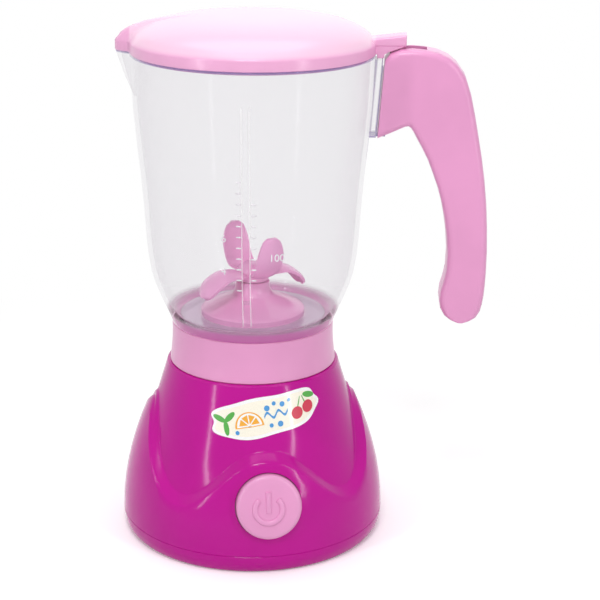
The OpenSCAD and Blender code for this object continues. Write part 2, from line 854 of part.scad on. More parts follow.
module collar() {
    color(pink) on_jug() rotate_extrude() polygon([
        [collar_bore_r, housing_h],
        [collar_r - 0.5, housing_h],
        [collar_r, housing_h + 0.5],
        [collar_r - 0.15, housing_h + 2],
        [collar_r - 0.5, housing_h + 4.5],
        [collar_top_r + 0.2, housing_h + 8],
        [collar_top_r, housing_h + 11.5],
        [collar_top_r, collar_top_h - 0.5],
        [collar_top_r - 0.5, collar_top_h],
        [jar_neck_r + seat_gap, collar_top_h],
        [jar_neck_r + seat_gap, jar_neck_low_h],
        [collar_bore_r, jar_neck_low_h]
    ]);
}

// The spout as a block: it widens upwards, and its tip is round
module spout_block(shrink, top) {
    reach = spout_reach - shrink;
    half = spout_half_w - shrink * 0.6;
    rings = [for (k = [0, 0.4, 0.75, 1])
        let (
            z = rim_h - spout_depth * (1 - k) + (k == 1 ? top : 0),
            out = jar_at(min(z, rim_h)) - 0.4 + (reach + 0.4) * pow(k, 0.8),
            w = half * (0.55 + 0.45 * k),
            back = jar_at(min(z, rim_h)) - 6
        )
        [
            [-back, -w - 2.2, z], [-back, w + 2.2, z],
            [-jar_at(min(z, rim_h)) + 0.7, w, z], [-out + reach * 0.32 * k, w * 0.42, z],
            [-out + 0.5 * k, w * 0.2, z], [-out, 0, z],
            [-out + 0.5 * k, -w * 0.2, z], [-out + reach * 0.32 * k, -w * 0.42, z],
            [-jar_at(min(z, rim_h)) + 0.7, -w, z]
        ]];
    skin(rings);
}

function jar_outline(out) =
    [for (f = jar_form)
        [f[1] + out, collar_top_h + f[0] * (rim_h - collar_top_h)]];

module jar() {
    inner = [for (p = jar_outline(-jug_wall)) if (p[1] > jar_floor_h + 3.4) p];
    low = rail_low_h;
    color(clear) on_jug() difference() {
        union() {
            rotate_extrude() polygon(concat(
                [
                    [0, jar_floor_h - jar_floor_t],
                    [jar_neck_r - jar_neck_wall, jar_floor_h - jar_floor_t],
                    [jar_neck_r - jar_neck_wall, jar_neck_low_h],
                    [jar_neck_r, jar_neck_low_h],
                    [jar_neck_r, collar_top_h]
                ],
                jar_outline(0),
                [[0, rim_h]]
            ));
            spout_block(0, 0);
            // Raised strip behind the scale
            intersection() {
                rotate_extrude() polygon(concat(
                    [[0, collar_top_h]], jar_outline(strip_t), [[0, rim_h]]
                ));
                translate([-strip_w / 2, -rim_r - 5, collar_top_h
                        + strip_low * (rim_h - collar_top_h)])
                    cube([strip_w, 12, (strip_high - strip_low) * (rim_h - collar_top_h)]);
            }
            // Rail that the handle hangs on: a pad, a web and a head
            rail_slab(rail_half_w, -rail_face_gap, rail_top_h);
            rail_slab(rail_web_half, rail_web_l, rail_top_h - rail_stop);
            rail_head(0);
        }
        rotate_extrude() polygon(concat(
            [
                [0, jar_floor_h],
                [jar_floor_r, jar_floor_h],
                [jar_floor_r + 2.2, jar_floor_h + 1.2]
            ],
            inner,
            [[rim_r - jug_wall, rim_h + cut], [0, rim_h + cut]]
        ));
        spout_block(jug_wall, cut);
        translate([0, 0, jar_floor_h - jar_floor_t - cut])
            cylinder(r = seat_spigot_r + seat_gap, h = jar_floor_t + 2 * cut);
    }
}

// Upright slab from inside the wall to the handle's face, and past it by reach
module rail_slab(half, reach, top) {
    rotate([90, 0, 0]) translate([0, 0, -half]) linear_extrude(2 * half) polygon([
        [jar_at(rail_low_h) - 1, rail_low_h],
        [face_at(rail_low_h) + reach, rail_low_h],
        [face_at(top) + reach, top],
        [jar_at(top) - 1, top]
    ]);
}

// Head of the rail, that the handle's channel holds
module rail_head(gap) {
    half = rail_head_half + gap;
    low = rail_low_h + 1.5 - gap;
    top = rail_top_h - rail_stop + gap;
    start = rail_web_l - rail_head_t - gap;
    rotate([90, 0, 0]) translate([0, 0, -half]) linear_extrude(2 * half) polygon([
        [face_at(low) + start, low],
        [face_at(low) + rail_web_l + gap, low],
        [face_at(top) + rail_web_l + gap, top],
        [face_at(top) + start, top]
    ]);
}

// One cross-section of the handle: from its inner side to its outer side, rounded
function handle_ring(inner, outer) =
    let (
        l = norm(outer - inner),
        e = (outer - inner) / l,
        edge = min(handle_edge, 0.42 * l),
        half = handle_w / 2
    )
    [for (q = [0:3], s = [0:30:90])
        let (
            a = q * 90 + s,
            side = q == 0 || q == 3 ? 1 : -1,
            face = q < 2 ? 1 : -1,
            along = (side > 0 ? l - edge : edge) + edge * cos(a),
            across = face * (half - edge) + edge * sin(a),
            p = inner + e * along
        )
        [p[0], across, p[1]]];

module handle_form() {
    lower = [face_at(rail_low_h), rail_low_h];
    upper = [face_at(rail_top_h), rail_top_h];
    // Each row is one section: its inner end and its outer end
    rows = concat([[lower, upper]], handle_rows);
    skin([for (r = rows) handle_ring(r[0], r[1])], clockwise = true);
}

module jar_handle() {
    color(pink) on_jug() difference() {
        handle_form();
        // Slot for the lid's tongue
        translate([slot_start_x, -slot_w / 2, slot_floor_h])
            cube([slot_end_x - slot_start_x, slot_w, rim_h]);
        // Channel for the rail's web and head
        rotate([90, 0, 0]) translate([0, 0, -rail_web_half - seat_gap])
            linear_extrude(2 * (rail_web_half + seat_gap)) polygon([
                [face_at(rail_low_h) - 5, rail_low_h - 4],
                [face_at(rail_low_h - 4) + rail_web_l - 0.5, rail_low_h - 4],
                [face_at(rail_top_h) + rail_web_l - 0.5, rail_top_h - rail_stop + seat_gap],
                [face_at(rail_top_h) - 5, rail_top_h - rail_stop + seat_gap]
            ]);
        rail_head(seat_gap);
    }
}

// ---------- blade ----------

module blade_seat() {
    side = jar_floor_h + seat_side_l;
    color(pink) on_jug() difference() {
        rotate_extrude() polygon([
            [0, jar_floor_h - seat_spigot_l],
            [seat_spigot_r, jar_floor_h - seat_spigot_l],
            [seat_spigot_r, jar_floor_h],
            [seat_r, jar_floor_h],
            [seat_r, side - 0.6],
            [seat_r - 0.5, side],
            [seat_r - 2.5, side + 1.0],
            [seat_r - 6, side + 2.5],
            [neck_r + 4, side + 4.2],
            [neck_r + 1.6, side + 5.4],
            [neck_r + 0.5, side + 7],
            [neck_r, side + 8.8],
            [neck_r - 0.1, neck_top_h - 0.4],
            [neck_r - 0.5, neck_top_h],
            [0, neck_top_h]
        ]);
        translate([0, 0, jar_floor_h - seat_spigot_l - cut])
            cylinder(r = spindle_r + 0.5, h = neck_l + seat_spigot_l + 2 * cut);
        translate([0, 0, jar_floor_h - seat_spigot_l - cut])
            cylinder(r = bush_r, h = bush_l + cut);
        translate([0, 0, neck_top_h - bush_l]) cylinder(r = bush_r, h = bush_l + cut);
    }
}

module spindle_bushes() {
    color("goldenrod") for (z = [jar_floor_h - seat_spigot_l, neck_top_h - bush_l])
        translate([0, 0, z]) difference() {
            cylinder(r = bush_r, h = bush_l);
            translate([0, 0, -cut]) cylinder(r = spindle_r + running_play, h = bush_l + 2 * cut);
        }
}

module blade_spindle() {
    color(steel) translate([0, 0, spindle_low_h])
        cylinder(r = spindle_r, h = spindle_top_h - spindle_low_h);
}

module jug_coupling() {
    color("white") translate([0, 0, jug_disc_h]) difference() {
        union() {
            cylinder(r = coupling_r, h = jug_disc_t);
            mirror([0, 0, 1]) teeth(180 / coupling_teeth);
        }
        translate([0, 0, spindle_low_h - jug_disc_h]) cylinder(r = spindle_r, h = 2 * jug_disc_t);
    }
}

// One paddle along +X: path of [radius, height], half-width, and bulge of its dish
module paddle(path, half_w, dish) {
    pts = spline(path, 3);
    m = len(pts) - 1;
    across = [-1, -0.6, 0, 0.6, 1];
    rings = [for (i = [0:m])
        let (
            t = pts[min(i + 1, m)] - pts[max(i - 1, 0)],
            n = [-t[1], t[0]] / norm(t),
            s = i / m,
            w = half_w * min(0.62 + 1.5 * s, sqrt(max(0.05, 1 - pow(max(0, s - 0.62) / 0.4, 2))))
        )
        concat(
            [for (u = across) let (o = -paddle_t / 2 * (1 - 0.5 * u * u) + dish * u * u)
                [pts[i][0] + n[0] * o, w * u, pts[i][1] + n[1] * o]],
            [for (u = [1, 0.6, 0, -0.6, -1])
                let (o = paddle_t / 2 * (1 - 0.5 * u * u) + dish * u * u)
                [pts[i][0] + n[0] * o, w * u, pts[i][1] + n[1] * o]]
        )];
    skin(rings);
}

module impeller() {
    mid = hub_h + hub_l * 0.45;
    // Paths start inside the hub and are given from its middle height
    down = [[3.5, mid], [8, mid + 1.2], [13, mid + 1.2], [17.5, mid - 0.8], [21, mid - 3.8],
        [23, mid - 7]];
    up = [[3.5, mid], [8, mid + 0.5], [11.8, mid + 3], [14, mid + 7.6], [15.2, mid + 12.6],
        [15.6, mid + 17.8]];
    color(pink) difference() {
        union() {
            translate([0, 0, hub_h]) rotate_extrude() polygon([
                [0, 0], [hub_r, 0], [hub_r, hub_l * 0.7], [hub_r - 0.8, hub_l],
                [hub_r - 2.6, hub_l + hub_dome * 0.75], [0, hub_l + hub_dome]
            ]);
            for (a = [0, 180]) rotate([0, 0, blade_angle + a]) paddle(down, down_half_w, -0.9);
            for (a = [90, 270]) rotate([0, 0, blade_angle + a]) paddle(up, up_half_w, 0.9);
        }
        translate([0, 0, hub_h - cut])
            cylinder(r = spindle_r, h = spindle_top_h - hub_h + cut);
    }
}

// ---------- lid ----------

// The lid's outline at a share of its size, at a height
function lid_ring(share, less, z) =
    [for (i = [len(lid_angles) - 1:-1:0])
        let (a = lid_angles[i], r = (lid_r + spout_reach * spout_share(a) - less) * share)
        [r * cos(a), r * sin(a), z]];

// The plug that centres the lid in the jug, at a height
function plug_ring(z) =
    [for (i = [len(lid_angles) - 1:-1:0])
        [plug_r * cos(lid_angles[i]), plug_r * sin(lid_angles[i]), z]];

module lid_outside() {
    band_top = rim_h + band_l;
    shoulder = band_top + lid_round * 0.9;
    rings = concat(
        [
            plug_ring(rim_h - plug_l),
            plug_ring(rim_h),
            lid_ring(1, 0.3, rim_h),
            lid_ring(1, 0, rim_h + 0.3),
            lid_ring(1, 0, band_top - 0.6),
            lid_ring(1, lid_round * 0.25, band_top + 0.2),
            lid_ring(1, lid_round, shoulder)
        ],
        [for (k = dome_steps)
            lid_ring(k, lid_round, shoulder
                + (dome_l - lid_round) * pow(1 - pow(k, dome_power), dome_fall))]
    );
    skin(rings, clockwise = true);
}

module lid() {
    tongue_x = lid_r + tongue_len;
    tongue_low = rim_h + tongue_drop;
    tongue_h = rim_h + band_l + 1.4;
    tab_x = slot_start_x + fit_gap;
    color(pale_pink) on_jug() difference() {
        union() {
            lid_outside();
            // Tongue over the handle, with a tab that drops into its slot
            rounded_plate([
                [lid_r - 6, tongue_low], [tongue_x, tongue_low],
                [tongue_x, tongue_h + tongue_rise], [lid_r - 6, tongue_h]
            ], tongue_w, tongue_edge);
            translate([tab_x, -slot_w / 2 + tab_gap, rim_h - tab_l])
                cube([tongue_x - 1 - tab_x, slot_w - 2 * tab_gap, tab_l + band_l + 1]);
        }
        rotate_extrude() polygon([
            [0, rim_h - plug_l - cut],
            [plug_r - plug_wall, rim_h - plug_l - cut],
            [plug_r - plug_wall, rim_h + band_l - 0.5],
            [plug_r - plug_wall - 4, rim_h + band_l + dome_l * 0.35],
            [rim_r * 0.66, rim_h + band_l + dome_l * 0.6],
            [rim_r * 0.35, rim_h + band_l + dome_l - lid_wall - 0.8],
            [0, rim_h + band_l + dome_l - lid_wall - 0.4]
        ]);
    }
}

base_housing();
bottom_cover();
battery_door();
door_screw();
housing_screws();
batteries();
contact_plates();
contact_springs();
motor_can();
motor_holder();
holder_screws();
motor_shaft();
drive_coupling();
power_button();
switch_plunger();
switch_body();
switch_carrier();
carrier_screws();
jug_seat();
collar();
jar();
jar_handle();
blade_seat();
spindle_bushes();
blade_spindle();
jug_coupling();
impeller();
lid();
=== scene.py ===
"""Dresses the toy blender: smooth moulded shells, marks, a label, plastics and a studio."""

import json
import math

import bmesh
import bpy
from mathutils import Matrix, Vector


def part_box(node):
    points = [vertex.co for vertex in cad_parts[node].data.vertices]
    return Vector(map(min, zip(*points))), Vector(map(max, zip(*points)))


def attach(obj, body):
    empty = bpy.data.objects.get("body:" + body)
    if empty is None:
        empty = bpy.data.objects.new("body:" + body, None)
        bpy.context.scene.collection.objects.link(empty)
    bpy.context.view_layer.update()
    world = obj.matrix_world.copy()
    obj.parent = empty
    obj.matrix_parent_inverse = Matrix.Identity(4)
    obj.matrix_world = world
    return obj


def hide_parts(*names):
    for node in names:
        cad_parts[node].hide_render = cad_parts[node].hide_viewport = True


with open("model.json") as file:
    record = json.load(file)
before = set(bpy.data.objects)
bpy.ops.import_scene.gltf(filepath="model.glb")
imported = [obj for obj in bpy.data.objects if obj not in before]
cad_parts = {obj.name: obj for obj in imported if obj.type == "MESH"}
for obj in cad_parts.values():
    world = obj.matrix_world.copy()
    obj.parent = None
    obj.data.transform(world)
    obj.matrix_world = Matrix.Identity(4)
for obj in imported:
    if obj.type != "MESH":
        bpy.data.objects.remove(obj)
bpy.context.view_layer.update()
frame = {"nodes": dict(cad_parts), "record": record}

bl_info = {
    "name": "Toy Blender Dressing",
    "version": (1, 0, 0),
    "blender": (4, 5, 0),
    "location": "3D View > Sidebar > Toy Blender",
    "description": "Gives the packed toy blender its shells, marks, label, plastics and studio",
    "category": "Object",
}

MM = 0.001

# The jug sits turned on the base: its marks and rail follow that turn
JUG_TURN = math.radians(-10.5)

# The button faces up a little: its middle, and how far before it the symbol's line lies
BUTTON_TILT = math.radians(12)
BUTTON_MIDDLE = (0.0, -51.143, 28.0)
SYMBOL_OUT = 2.65


def box_mm(node):
    """A node's lowest and highest corner in millimetres."""
    low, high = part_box(node)
    return low / MM, high / MM


RIM_H = box_mm("jar")[1].z
JAR_FOOT_H = box_mm("collar")[1].z
HOUSING_TOP_H = box_mm("collar")[0].z

# The bell under the label: its radius at the top, and how it widens with each mm down
BELL_TOP_R = 34.4
BELL_SLOPE = 0.31

# Outside of the jug: share of the height from collar to rim, and radius
JAR_FORM = [
    (0.000, 32.3), (0.025, 33.3), (0.060, 34.9), (0.095, 36.6), (0.128, 38.0), (0.160, 39.3),
    (0.195, 40.3), (0.250, 41.3), (0.315, 42.0), (0.430, 42.7), (0.550, 43.7), (0.670, 45.0),
    (0.810, 46.3), (1.000, 47.0),
]

# Rail on the jug: its lean, and where its two edges would cross the ground
RAIL_LEAN = 2.2 / 30.2
RAIL_X = (32.9, 35.8)
RAIL_LOW_H = RIM_H - 32

# Strip behind the scale
STRIP_HALF_W = 1.5

# Soft edges of painted light, reflection and highlight, and between two finishes, on one piece,
# in millimetres: heights
RIM_EDGE = (RIM_H - 1.1, RIM_H - 0.6)
RAIL_END = (RAIL_LOW_H + 0.4, RAIL_LOW_H + 1.4)
FLOOR_TOP = (90.5, 93.0)
FOOT_TOP = (90.8, 94.4)
STRIP_LOW = (95.5, 96.0)
STRIP_TOP = (182.0, 182.5)
DOME_EDGE = (RIM_H + 3.6, RIM_H + 5.6)
# ... distances from the upright axis
SEAT_RING = (20.5, 22.5)
FLOOR_RIM = (28.6, 29.1)
FOOT_RIM = (28.7, 29.2)
DOME_RIM = (46.5, 47.5)
# ... and distances from the jug's middle plane, towards the handle or the front
RAIL_BACK = (44.0, 44.3)
RAIL_SIDE = (4.0, 4.3)
STRIP_SIDE = (0.0, 2.0)
# ... and from a cell's middle, where the sleeve's band and the bare steel begin
CELL_BAND = 17.0
CELL_BARE = (26.2, 26.6)

# Soft lamps: place and size in metres, power in watts
LAMPS = {
    "left strip": ((-0.82, -0.57, 0.40), (0.05, 0.9), 2.45),
    "right strip": ((0.61, -0.79, 0.40), (0.05, 0.9), 2.45),
    "fore": ((-0.12, -0.6, 0.95), (0.30, 0.10), 2.8),
    "top": ((0.0, 0.1, 1.1), (0.9, 0.9), 4.4),
    "back": ((0.17, 1.13, 0.60), (1.6, 0.9), 1.5),
}
LAMP_AIM = Vector((0, 0, 0.11))

# Strength of the world's light on the object, and the floor's own glow
DAYLIGHT = 0.36
FLOOR_GLOW = (0.2, 0.2, 0.2)

# Camera that the ellipses in the photo gave: lens and sensor in millimetres, place in metres
CAMERA_LENS, CAMERA_SENSOR = 95.28, 36.0
CAMERA_PLACE = (-0.07397, -0.60248, 0.2945)
CAMERA_FORWARD = (0.14518, 0.93892, -0.31200)
CAMERA_RIGHT = (0.98826, -0.15281, 0.0)
CAMERA_ROLL = math.radians(0.585)


# ---------------------------------------------------------------- settings


def length(name, text, default):
    """A length in millimetres for the panel."""
    return bpy.props.FloatProperty(name=name, description=text, default=default, min=0.0)


def colour(name, text, default):
    """A colour in the values that a screen shows, 0 to 255."""
    return bpy.props.FloatVectorProperty(
        name=name, description=text, default=[linear(c / 255) for c in default],
        subtype="COLOR", min=0.0, max=1.0,
    )


def linear(c):
    return c / 12.92 if c <= 0.04045 else ((c + 0.055) / 1.055) ** 2.4


class BlenderColours(bpy.types.PropertyGroup):
    """Colours of the plastics and of the label."""

    base: colour("Base", "Plastic of the housing, its cover and the battery door", (191, 4, 147))
    pink: colour("Pink", "Plastic of the collar, handle and button", (231, 157, 203))
    lid: colour("Lid", "Plastic of the lid's band and tongue", (237, 172, 212))
    # Painted light: this paler tone stands for the light from above on the lid's dome
    dome: colour("Dome", "The lid's thin dome, which lets light through", (245, 200, 226))
    # Painted light: the blade's colour is the pink plastic made lighter, for the light the jug
    # keeps from it
    blade: colour("Blade", "Plastic of the blade and its seat", (248, 176, 222))
    clear: colour("Clear", "Film on the clear jug", (236, 235, 239))
    # Partly the clear plastic's own tint where it is thick, partly a painted reflection of the
    # pink parts at the rim and rail
    rim: colour("Rim tint", "Tint that gathers at the edges of the rim and rail", (140, 116, 186))
    # Painted light: a pale tint on the thick floor, standing for the lit collar and seat seen
    # through it
    floor: colour("Jug floor", "Tint of the jug's thick floor", (250, 222, 244))
    # Painted reflection: the collar's colour seen through the clear foot, painted on it
    foot: colour("Jug foot", "Tint of the jug's foot, inside the collar", (222, 108, 190))
    paper: colour("Label", "Ground of the label", (250, 245, 228))
    leaf: colour("Leaf", "Leaves on the label", (74, 168, 62))
    berry: colour("Berry", "Cherries on the label", (206, 34, 70))
    drop: colour("Drop", "Drops on the label", (66, 150, 214))
    slice: colour("Slice", "Citrus slice on the label", (240, 170, 40))


class BlenderSizes(bpy.types.PropertyGroup):
    """Sizes of the marks, in millimetres."""

    symbol_radius: length("Symbol radius", "Radius of the button's power symbol", 5.3)
    symbol_line: length("Symbol line", "Width of the symbol's raised line", 2.3)
    tick_length: length("Tick length", "Length of a mark of the scale", 2.2)
    tick_pitch: length("Tick pitch", "Distance between two marks of the scale", 4.25)
    number_height: length("Number height", "Height of the scale's numbers", 3.0)
    label_width: length("Label width", "Width of the label along the bell", 46.0)
    label_height: length("Label height", "Height of the label", 15.0)


# ---------------------------------------------------------------- shader helpers


class Sock:
    """One output of a node, so that shader maths reads as Python."""

    def __init__(self, shade, socket):
        self.shade, self.socket = shade, socket

    def _math(self, kind, *terms):
        return self.shade.node("ShaderNodeMath", {"operation": kind}, dict(enumerate(terms)))

    def __add__(self, other):
        return self._math("ADD", self, other)

    __radd__ = __add__

    def __mul__(self, other):
        return self._math("MULTIPLY", self, other)

    def __sub__(self, other):
        return self._math("SUBTRACT", self, other)

    def __rsub__(self, other):
        return self._math("SUBTRACT", other, self)

    def __pow__(self, other):
        return self._math("POWER", self, other)

    def size(self):
        return self._math("ABSOLUTE", self)

    def most(self, other):
        return self._math("MAXIMUM", self, other)

    def above(self, limit):
        return self._math("GREATER_THAN", self, limit)

    def step(self, low, high):
        """0 below low, 1 above high, smooth between."""
        return self.shade.node(
            "ShaderNodeMapRange", {"interpolation_type": "SMOOTHSTEP"},
            {"Value": self, "From Min": low, "From Max": high},
        )

    def rise(self, edge):
        """0 before a soft edge and 1 past it, for a length and an edge in millimetres."""
        return self.step(edge[0] * MM, edge[1] * MM)

    def fall(self, edge):
        """1 before a soft edge and 0 past it."""
        return 1.0 - self.rise(edge)

    def line(self, at, half):
        """1 close to a length in millimetres, 0 away from it."""
        return (self - at * MM).size().fall((half * 0.5, half))


class Shade:
    """A material and its nodes, or the nodes of a world."""

    def __init__(self, name="", tree=None):
        if tree is None:
            self.material = bpy.data.materials.new(name)
            self.material.use_nodes = True
            tree = self.material.node_tree
            self.main = tree.nodes["Principled BSDF"]
            self.out = tree.nodes["Material Output"]
        self.tree = tree

    def node(self, kind, settings=None, values=None, output=0):
        """Adds a node, sets it up, and gives one of its outputs."""
        n = self.tree.nodes.new(kind)
        for key, value in (settings or {}).items():
            setattr(n, key, value)
        for key, value in (values or {}).items():
            self.feed(n.inputs[key], value)
        return Sock(self, n.outputs[output])

    def feed(self, socket, value):
        if isinstance(value, Sock):
            self.tree.links.new(value.socket, socket)
        else:
            socket.default_value = value

    def set(self, **values):
        """Sets or links the shader's own sockets: base_color becomes Base Color."""
        for key, value in values.items():
            name = key.replace("_", " ").title().replace("Ior", "IOR")
            if name == "Base Color" and not isinstance(value, Sock):
                value = (*value, 1.0)
            self.feed(self.main.inputs[name], value)

    def mix(self, mask, a, b):
        """A colour between a and b."""
        four = [v if isinstance(v, Sock) else (*v, 1.0) for v in (a, b)]
        return self.node(
            "ShaderNodeMix", {"data_type": "RGBA"}, {0: mask, 6: four[0], 7: four[1]}, 2
        )

    def place(self):
        """The place on the piece, in its own coordinates."""
        return self.node("ShaderNodeTexCoord", output=3)

    def noise(self, scale, detail=2.0, rough=0.5):
        return self.node(
            "ShaderNodeTexNoise", values={
                "Vector": self.place(), "Scale": scale, "Detail": detail, "Roughness": rough},
        )

    def run(self, along, scale, detail):
        """Noise stretched along an axis, as drawn or moulded marks run."""
        return self.node("ShaderNodeTexNoise", values={
            "Vector": self.node("ShaderNodeMapping", values={0: self.place(), 3: along}),
            "Scale": scale, "Detail": detail})

    def bump(self, height, depth):
        self.feed(self.main.inputs["Normal"], self.node(
            "ShaderNodeBump", values={"Height": height, "Distance": depth, "Strength": 1.0}))

    def show(self, mask, under, over):
        """Shows one shader through another: a mask of 1 leaves only the upper one."""
        self.feed(self.out.inputs["Surface"], self.node(
            "ShaderNodeMixShader", values={0: mask, 1: under, 2: over}))

    def along(self, angle):
        """How far the place lies along a level direction, in metres."""
        way = (math.cos(angle), math.sin(angle), 0.0)
        return self.node("ShaderNodeVectorMath", {"operation": "DOT_PRODUCT"},
                         {0: self.place(), 1: way}, 1)

    def axis(self, output):
        """X, Y or Z of the place, in metres."""
        return self.node("ShaderNodeSeparateXYZ", values={0: self.place()}, output=output)

    def reach(self):
        """Distance from the upright axis, in metres."""
        level = self.node("ShaderNodeMapping", values={0: self.place(), 3: (1.0, 1.0, 0.0)})
        return self.node("ShaderNodeVectorMath", {"operation": "LENGTH"}, {0: level}, 1)


# Depths of relief in the finishes, in metres, and what the plastics have in common
FINE_GRAIN, POLISHED_GRAIN, FLOW_DEPTH, PRINT_DEPTH = 0.00002, 0.000005, 0.0001, 0.00001
PLASTIC_IOR = 1.49
# White of the label's film, and the painted highlight on the edges of the scale's strip
WHITE_FILM_AND_HIGHLIGHT = (0.95, 0.95, 0.95)


def shift(c, amount):
    """A colour made lighter or darker."""
    return tuple(max(0.0, min(1.0, v * (1 + amount))) for v in c)


def moulded(name, tone, rough, gloss=0.45, grain=FINE_GRAIN, coat=0.1, painted_lit_top=None):
    """Injection-moulded plastic: faint flow marks, an even sheen and fine scuffs.

    grain is the depth of the scuffs, and the last argument a paler tone painted on top of the
    lid's dome: painted light from above."""
    s = Shade(name)
    flow = s.noise(28, 3.0, 0.55)
    shade = s.mix(flow.step(0.3, 0.7), shift(tone, -0.035), shift(tone, 0.03))
    # Painted light: the top of the lid's dome gets a paler tone, for the light from above
    if painted_lit_top:
        shade = s.mix(s.axis(2).rise(DOME_EDGE) * s.reach().fall(DOME_RIM), shade, painted_lit_top)
    if grain:
        scuff = s.noise(420, 4.0, 0.65)
        wear = scuff.step(0.45, 0.8) * 0.02 + flow * 0.02
        s.bump(scuff + s.noise(1500, 2.0) * 0.6, grain)
    else:
        wear = flow * 0.03
        s.bump(flow, FLOW_DEPTH)
    s.set(
        base_color=shade, roughness=wear + rough,
        specular_ior_level=gloss, coat_weight=coat, coat_roughness=0.12, ior=PLASTIC_IOR,
    )
    return s.material


def metal(name, tone, rough, along):
    """Drawn or turned metal, with its marks run along one axis."""
    s = Shade(name)
    grain = s.run(along, 900.0, 3.0)
    s.set(
        base_color=s.mix(grain, shift(tone, -0.12), shift(tone, 0.08)),
        metallic=1.0, roughness=rough + grain * 0.14,
    )
    s.bump(grain, PRINT_DEPTH)
    return s.material


def clear_plastic(name, tone, rim, floor, foot):
    """Clear moulded plastic: a light grey film, with tint at its edges and thick floor, partly
    its own and partly painted reflection and painted light, and a painted highlight on the
    scale's strip.
    """
    s = Shade(name)
    height, middle = s.axis(2), s.reach()
    across, out = s.along(JUG_TURN), s.along(JUG_TURN - math.pi / 2)
    # Rail: lines where it leaves the wall and along the handle, and a dark lower end. The lines
    # are partly the plastic's own tint and partly painted reflection of the pink parts; the dark
    # end is painted shade
    rail = across.rise(RAIL_BACK) * out.size().fall(RAIL_SIDE)
    lean = across - height * RAIL_LEAN
    lines = lean.line(RAIL_X[0], 1.1) * 0.7 + lean.line(RAIL_X[1], 0.4)
    # Rim and rail edges: partly the plastic's own tint, partly painted reflection of the pink
    # parts
    edge = height.rise(RIM_EDGE).most(rail * (lines.most(height.fall(RAIL_END)) + 0.1))
    # Floor: painted light, a pale tint for the lit collar and seat seen through it, with a faint
    # painted reflection in a ring round the seat; and the foot, which takes the collar's colour
    # as a painted reflection
    thick = height.fall(FLOOR_TOP) * middle.fall(FLOOR_RIM)
    floor_ring_reflection = thick * middle.rise(SEAT_RING)
    # Painted reflection: the collar's colour, seen through the foot, painted on it
    corner = height.fall(FOOT_TOP) * middle.rise(FOOT_RIM)
    # Strip behind the scale: its two long edges get a painted highlight
    strip = out.rise(STRIP_SIDE) * across.size().line(STRIP_HALF_W, 0.22)
    strip = strip * height.rise(STRIP_LOW) * height.fall(STRIP_TOP)
    # The floor's pale tint is painted light
    shade = s.mix(thick, tone, floor)
    # Painted reflection at the rim, rail, seat ring and foot, and a painted highlight on the
    # strip
    for mask, tint in ((edge.most(floor_ring_reflection * 0.22), rim), (corner, foot), (strip, WHITE_FILM_AND_HIGHLIGHT)):
        shade = s.mix(mask, shade, tint)
    streak = s.run((1.0, 1.0, 0.08), 60.0, 2.0)
    s.set(
        base_color=shade, roughness=0.06 + streak * 0.05,
        specular_ior_level=0.6, coat_weight=0.5, coat_roughness=0.03, ior=PLASTIC_IOR,
    )
    s.bump(streak, 0.00012)
    facing = s.node("ShaderNodeLayerWeight", values={"Blend": 0.5}, output=1)
    veil = 0.04 + (facing ** 3.0) * 0.22
    # The painted reflections, light and highlight also thicken the film, so they show
    veil = veil + edge * 0.5 + thick * 0.6 + strip * 0.36 + corner * 0.6
    through = s.node("ShaderNodeBsdfTransparent", values={"Color": (0.968, 0.966, 0.971, 1)})
    s.show(veil, through, Sock(s, s.main.outputs[0]))
    return s.material


def printed(name, tone):
    """Ink on glossy film, and the frosted marks of the scale."""
    s = Shade(name)
    dots = s.noise(2600, 1.0)
    s.set(base_color=s.mix(dots.step(0.35, 0.65), shift(tone, -0.03), shift(tone, 0.03)),
          roughness=0.3 + dots * 0.08, coat_weight=0.5, coat_roughness=0.08)
    s.bump(dots, PRINT_DEPTH)
    return s.material


def cell_wrap(name):
    """A battery: a printed sleeve, with bare steel at both ends."""
    s = Shade(name)
    away = s.axis(0).size()
    bare = away.rise(CELL_BARE)
    sleeve = s.mix(away.above(CELL_BAND * MM), (0.05, 0.22, 0.36), (0.55, 0.60, 0.63))
    s.set(base_color=s.mix(bare, sleeve, (0.62, 0.63, 0.64)), metallic=bare,
          roughness=0.34 - bare * 0.08 + s.noise(500) * 0.05, coat_weight=0.2)
    s.bump(s.noise(800), PRINT_DEPTH)
    return s.material


MATERIALS = {}  # Finishes made so far, by slot


def finish_for(slot):
    """The material of a record slot, made once."""
    if slot not in MATERIALS:
        c = bpy.context.scene.toy_blender_colours
        make = {
            "magenta_plastic": lambda n: moulded(
                n, tuple(c.base), 0.12, gloss=0.22, grain=POLISHED_GRAIN, coat=0.0),
            "pink_plastic": lambda n: moulded(n, tuple(c.pink), 0.27),
            # A lighter copy of the pink plastic: painted light for the blade and seat inside the
            # jug
            "blade_plastic": lambda n: moulded(n, tuple(c.blade), 0.2),
            "pale_pink_plastic": lambda n: moulded(
                n, tuple(c.lid), 0.25, gloss=0.5, grain=0.0, painted_lit_top=tuple(c.dome)),
            "clear_plastic": lambda n: clear_plastic(
                n, tuple(c.clear), tuple(c.rim), tuple(c.floor), tuple(c.foot)),
            "white_plastic": lambda n: moulded(n, (0.78, 0.78, 0.75), 0.5),
            "black_plastic": lambda n: moulded(n, (0.02, 0.02, 0.022), 0.45),
            "steel": lambda n: metal(n, (0.62, 0.63, 0.65), 0.26, (1.0, 1.0, 0.05)),
            "brass": lambda n: metal(n, (0.72, 0.5, 0.22), 0.28, (0.05, 0.05, 1.0)),
            "cell_wrap": cell_wrap,
        }
        MATERIALS[slot] = make[slot](slot + "_finish")
    return MATERIALS[slot]


# ---------------------------------------------------------------- mesh helpers

# Edges sharper than this stay sharp: on a moulded shell, and on small raised marks
SHARP_DEG, MARK_SHARP_DEG = 32.0, 60.0


def move(bm, way):
    bmesh.ops.translate(bm, vec=way, verts=bm.verts)


